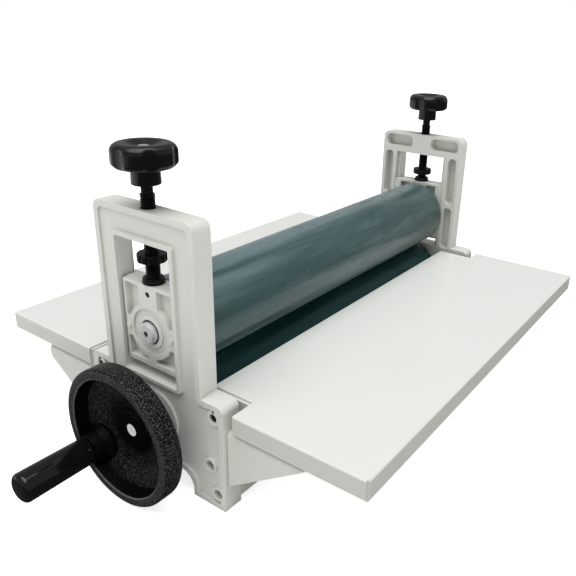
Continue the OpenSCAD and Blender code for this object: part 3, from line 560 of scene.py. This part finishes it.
def scalloped(profile, lobes, scallop_r, depth, full_r, blend, segments=288):
    """Grid about Z with scallops cut all round, the first one facing X: the radius is the soft minimum,
    -log(sum exp(-k r)) / k with k = 1 / blend, of the profile's own radius and the near side of a circle
    of scallop_r whose edge is depth inside full_r. Beside that circle nothing is cut, and neither is the
    profile within UNCUT of full_r."""
    t = np.linspace(0, 2 * np.pi, segments, endpoint=False)
    off = (t / (2 * np.pi) * lobes + 0.5) % 1 - 0.5
    off = off * 2 * np.pi / lobes
    far = full_r - depth + scallop_r
    reach = np.clip(scallop_r ** 2 - (far * np.sin(off)) ** 2, 0, None)
    cut = np.where(reach > 0, far * np.cos(off) - np.sqrt(reach), far * np.cos(off) + CLEAR)
    z, out = profile[:, 0, None], profile[:, 1, None]
    k = 1 / blend
    soft = -np.log(np.exp(-k * (out - full_r)) + np.exp(-k * (cut - full_r))) / k + full_r
    out = np.where(out < full_r * UNCUT, out, np.minimum(out, soft))
    return np.stack([out * np.cos(t), out * np.sin(t), z + 0 * t], axis=-1)


for side in ("left", "right"):
    low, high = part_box(f"{side}_pressure_screw")
    axis = np.array([*((low + high) / 2)[:2], 0])
    knob_low, knob_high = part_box(f"{side}_pressure_knob")
    collar_low, collar_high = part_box(f"{side}_thrust_collar")
    nut_low, nut_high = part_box(f"{side}_lock_nut")
    z0, z1 = low.z / MM, high.z / MM
    thread_z0, thread_z1 = collar_high.z / MM - THREAD_IN_COLLAR, knob_low.z / MM - BARE_UNDER_KNOB
    tip = np.array([(0, 0), (0, TIP_R - 0.5), (0.5, TIP_R), (GROOVE_LOW, TIP_R), (GROOVE_LOW, GROOVE_R),
                    (GROOVE_HIGH, GROOVE_R), (GROOVE_HIGH, TIP_R), (thread_z0 - 0.05 - z0, TIP_R),
                    (thread_z0 - z0, TIP_R + 0.6)])
    neck = np.array([(thread_z1 + 0.5 - z1, NECK_R + 0.05), (thread_z1 + 0.6 - z1, NECK_R),
                     (-0.6, NECK_R), (-0.15, NECK_R - 0.2), (0, NECK_R - 0.6), (0, 0)])
    screw = np.concatenate([ring(tip[:, 1:], tip[:, :1] + z0), threaded(thread_z0, thread_z1),
                            ring(neck[:, 1:], neck[:, :1] + z1)]) * MM + axis
    piece = place_piece(f"{side}_threaded_screw", skin("screw", screw), oxide, f"{side}_screw",
                        "blackened_steel", f"{side}_pressure_screw")
    piece.data.materials.append(shaft_steel)
    heights = np.array([p.center.z for p in piece.data.polygons])
    piece.data.polygons.foreach_set("material_index", (heights > (z1 - BRIGHT_END) * MM).astype(int))

    z0, z1 = knob_low.z / MM, knob_high.z / MM
    body_z0 = z0 + KNOB_NECK
    full_r = (knob_high.y - knob_low.y) / 2 / MM
    knob_profile = rounded([(z0, KNOB_BORE, 0), (z0, KNOB_NECK_R, 0.6), (body_z0, KNOB_NECK_R - 0.3, 0.8),
                            (body_z0, KNOB_UNDER_R, 1.4), (body_z0 + 2.4, full_r, 2.0),
                            (z1, full_r, KNOB_CROWN), (z1, KNOB_DISH_R, 1.6), (z1 - 2.2, 7.0, 2.0),
                            (z1 - 3.2, KNOB_BORE, 0)], steps=10)
    knob = scalloped(knob_profile, KNOB_LOBES, SCALLOP_R, SCALLOP_DEPTH, full_r, 0.35) * MM + axis
    place_piece(f"{side}_knob_moulding", skin("knob", knob, loop=True), nylon, f"{side}_screw",
                "knob_plastic", f"{side}_pressure_knob")

    z0, z1 = collar_low.z / MM, collar_high.z / MM
    collar_profile = rounded([(z0, COLLAR_BORE, 0), (z0, COLLAR_R, 0.4), (z0 + 2.0, COLLAR_R, 0.4),
                              (z0 + 2.4, COLLAR_TOP_R, 0.2), (z1, COLLAR_TOP_R, 0.5), (z1, COLLAR_BORE, 0)])
    place_piece(f"{side}_thrust_ring", skin("collar", turned(collar_profile, axis, "Z"), loop=True), oxide,
                f"{side}_screw", "blackened_steel", f"{side}_thrust_collar")

    z0, z1 = nut_low.z / MM, nut_high.z / MM
    nut_profile = rounded([(z0, NUT_BORE, 0), (z0, NUT_R, 0.6), (z1, NUT_R, 0.6), (z1, NUT_BORE, 0)])
    nut = scalloped(nut_profile, NUT_NOTCHES, NOTCH_R, NOTCH_DEPTH, NUT_R, 0.1) * MM + axis
    place_piece(f"{side}_notched_nut", skin("nut", nut, loop=True), oxide, f"{side}_nut", "blackened_steel",
                f"{side}_lock_nut")


# ---- Feed tables ----
# Two 15 mm boards faced in white melamine, their edges rounded over, that reach between the side frames.
# Film and prints slide on them into the nip.
def melamine():
    """Melamine-faced board: cool white with a fine pearl texture under a half gloss and a few small marks.
    Faces that turn away from up, the edges and the underside, are painted a slightly greyer white: painted
    shade."""
    material, tree, shader, place = finish("white_melamine", IOR=1.5)
    pearl = add(tree, "ShaderNodeTexNoise", {"Vector": place, "Scale": per_mm(1.1), "Detail": 3.0})
    body = add(tree, "ShaderNodeMix", {"Factor": pearl.outputs["Fac"], "A": linear("#edeeea"),
                                       "B": linear("#f0f1ed")}, data_type="RGBA")
    # Painted shade: faces that do not face up are mixed towards a greyer white.
    normal = add(tree, "ShaderNodeNewGeometry").outputs["Normal"]
    facing = add(tree, "ShaderNodeSeparateXYZ", {"Vector": normal})
    painted_side_shade = add(tree, "ShaderNodeMapRange", {"Value": facing.outputs["Z"], "From Min": 0.3,
                                              "From Max": 0.8, "To Min": 1.0, "To Max": 0.0})
    side_shaded = add(tree, "ShaderNodeMix", {"Factor": painted_side_shade.outputs["Result"], "A": body.outputs["Result"],
                                        "B": linear("#d9dbd4")}, data_type="RGBA")
    marks = add(tree, "ShaderNodeTexVoronoi", {"Vector": place, "Scale": per_mm(60)}, feature="F1")
    speck = add(tree, "ShaderNodeMapRange", {"Value": marks.outputs["Distance"], "From Min": 0.008,
                                             "From Max": 0.014, "To Min": 0.5, "To Max": 0.0})
    marked = add(tree, "ShaderNodeMix", {"Factor": speck.outputs["Result"], "A": side_shaded.outputs["Result"],
                                         "B": linear("#b4b4ae")}, data_type="RGBA")
    tree.links.new(marked.outputs["Result"], shader.inputs["Base Color"])
    gloss = add(tree, "ShaderNodeMapRange", {"Value": pearl.outputs["Fac"], "To Min": 0.17, "To Max": 0.25})
    tree.links.new(gloss.outputs["Result"], shader.inputs["Roughness"])
    grain = add(tree, "ShaderNodeBump", {"Height": pearl.outputs["Fac"], "Distance": 0.002 * MM})
    tree.links.new(grain.outputs["Normal"], shader.inputs["Normal"])
    return material


board = melamine()
for node in ("front_table", "rear_table"):
    coat(nodes[node].data, board)


# ---- Brackets and tie channels ----
# Folded from 2 mm sheet steel and painted with the frames: four triangular brackets carry the tables,
# and two channels hold the side frames apart.
SHEET_EDGE = 0.3
sheet_paint = sprayed_paint("stove_enamel_on_sheet", "#e9eae4", "#e2e3dc", 1.2, 0.02)
for node in ("left_front_bracket", "right_front_bracket", "left_rear_bracket", "right_rear_bracket",
             "front_tie_channel", "rear_tie_channel"):
    soften(f"{node}_sheet", node, SHEET_EDGE, sheet_paint, "frame", "painted_sheet", steps=2)


# ---- Fasteners ----
# Zinc plated screws hold the channels and brackets, and blackened ones the tables' sides.
# The grub screws in the blocks and the handwheel's set screw are blackened too.
SCREW_EDGE = 0.25
zinc_plate = turned_metal("zinc_plated_steel", "#a9aaa8", "#d0d1cf", 0.8, 0.4, 0.8)
for node in ("tie_screws", "bracket_screws", "table_flange_screws"):
    soften(f"{node}_plated", node, SCREW_EDGE, zinc_plate, "frame", "plated_steel", steps=2)
soften("table_side_screws_black", "table_side_screws", SCREW_EDGE, oxide, "frame", "blackened_steel",
       steps=2)
for node in ("handwheel_set_screw", "screw_retaining_grubs"):
    coat(nodes[node].data, oxide)


# ---- Studio ----
# A matt white floor under a broad overhead light, tipped a little to the front and the handwheel, in a dim
# white room that shows white. The floor glows to the eye, as opal acrylic on a light table does. A black
# card darkens its mirror image at the front, and one thin tube lamp draws bright lines on glossy edges.
REACH = 12.0
ROOM, ROOM_SEEN = 0.34, 1.0
SUN_STRENGTH, SUN_SPREAD, SUN_FROM = 2.0, 55, (-0.22, -0.04, 1.0)
FLOOR_GLOW = 0.75
CARD_EDGE, CARD_FADE = 0.1, 0.25
TUBE_SIZE, TUBE_POWER, TUBE_PLACE = (2.0, 0.03), 2.8, (0.35, -0.37, 2.0)
floor_mesh = bpy.data.meshes.new("floor")
floor_mesh.from_pydata([(-REACH, -REACH, 0), (REACH, -REACH, 0), (REACH, REACH, 0), (-REACH, REACH, 0)], [],
                       [(0, 1, 2, 3)])
floor = bpy.data.objects.new("floor", floor_mesh)
bpy.context.scene.collection.objects.link(floor)
floor_paint, floor_tree, floor_shader, floor_place = finish("matt_white_floor", Roughness=0.9,
                                                            Specular_IOR_Level=0.1)
ray = add(floor_tree, "ShaderNodeLightPath")
on_floor = add(floor_tree, "ShaderNodeSeparateXYZ", {"Vector": floor_place})
in_front = add(floor_tree, "ShaderNodeMapRange", {"Value": on_floor.outputs["Y"], "From Min": CARD_EDGE,
                                                  "From Max": CARD_EDGE + CARD_FADE,
                                                  "To Min": 1.0, "To Max": 0.0})
carded = add(floor_tree, "ShaderNodeMath", {0: ray.outputs["Is Glossy Ray"], 1: in_front.outputs["Result"]},
             operation="MULTIPLY")
card = add(floor_tree, "ShaderNodeMix", {"Factor": carded.outputs["Value"], "A": linear("#fcfcfb"),
                                         "B": linear("#4a4a4a")}, data_type="RGBA")
floor_tree.links.new(card.outputs["Result"], floor_shader.inputs["Base Color"])
to_eye = add(floor_tree, "ShaderNodeMapRange", {"Value": ray.outputs["Is Camera Ray"],
                                                "To Max": FLOOR_GLOW})
floor_shader.inputs["Emission Color"].default_value = linear("#ffffff")
floor_tree.links.new(to_eye.outputs["Result"], floor_shader.inputs["Emission Strength"])
floor_mesh.materials.append(floor_paint)

world = bpy.data.worlds.new("studio")
world.use_nodes = True
room = world.node_tree
room.nodes.clear()
seen = add(room, "ShaderNodeLightPath").outputs["Is Camera Ray"]
level_of_room = add(room, "ShaderNodeMapRange", {"Value": seen, "To Min": ROOM, "To Max": ROOM_SEEN})
glow = add(room, "ShaderNodeBackground", {"Color": (1, 1, 1, 1),
                                          "Strength": level_of_room.outputs["Result"]})
add(room, "ShaderNodeOutputWorld", {"Surface": glow.outputs["Background"]})
bpy.context.scene.world = world

overhead = bpy.data.lights.new("overhead", "SUN")
overhead.energy = SUN_STRENGTH
overhead.angle = math.radians(SUN_SPREAD)
lamp = bpy.data.objects.new("overhead", overhead)
lamp.rotation_euler = Vector(SUN_FROM).to_track_quat("Z", "Y").to_euler()
bpy.context.scene.collection.objects.link(lamp)
tube = bpy.data.lights.new("tube", "AREA")
tube.shape = "RECTANGLE"
tube.size, tube.size_y = TUBE_SIZE
tube.energy = TUBE_POWER
fitting = bpy.data.objects.new("tube", tube)
fitting.location = TUBE_PLACE
bpy.context.scene.collection.objects.link(fitting)
bpy.context.scene.view_settings.view_transform = "Standard"
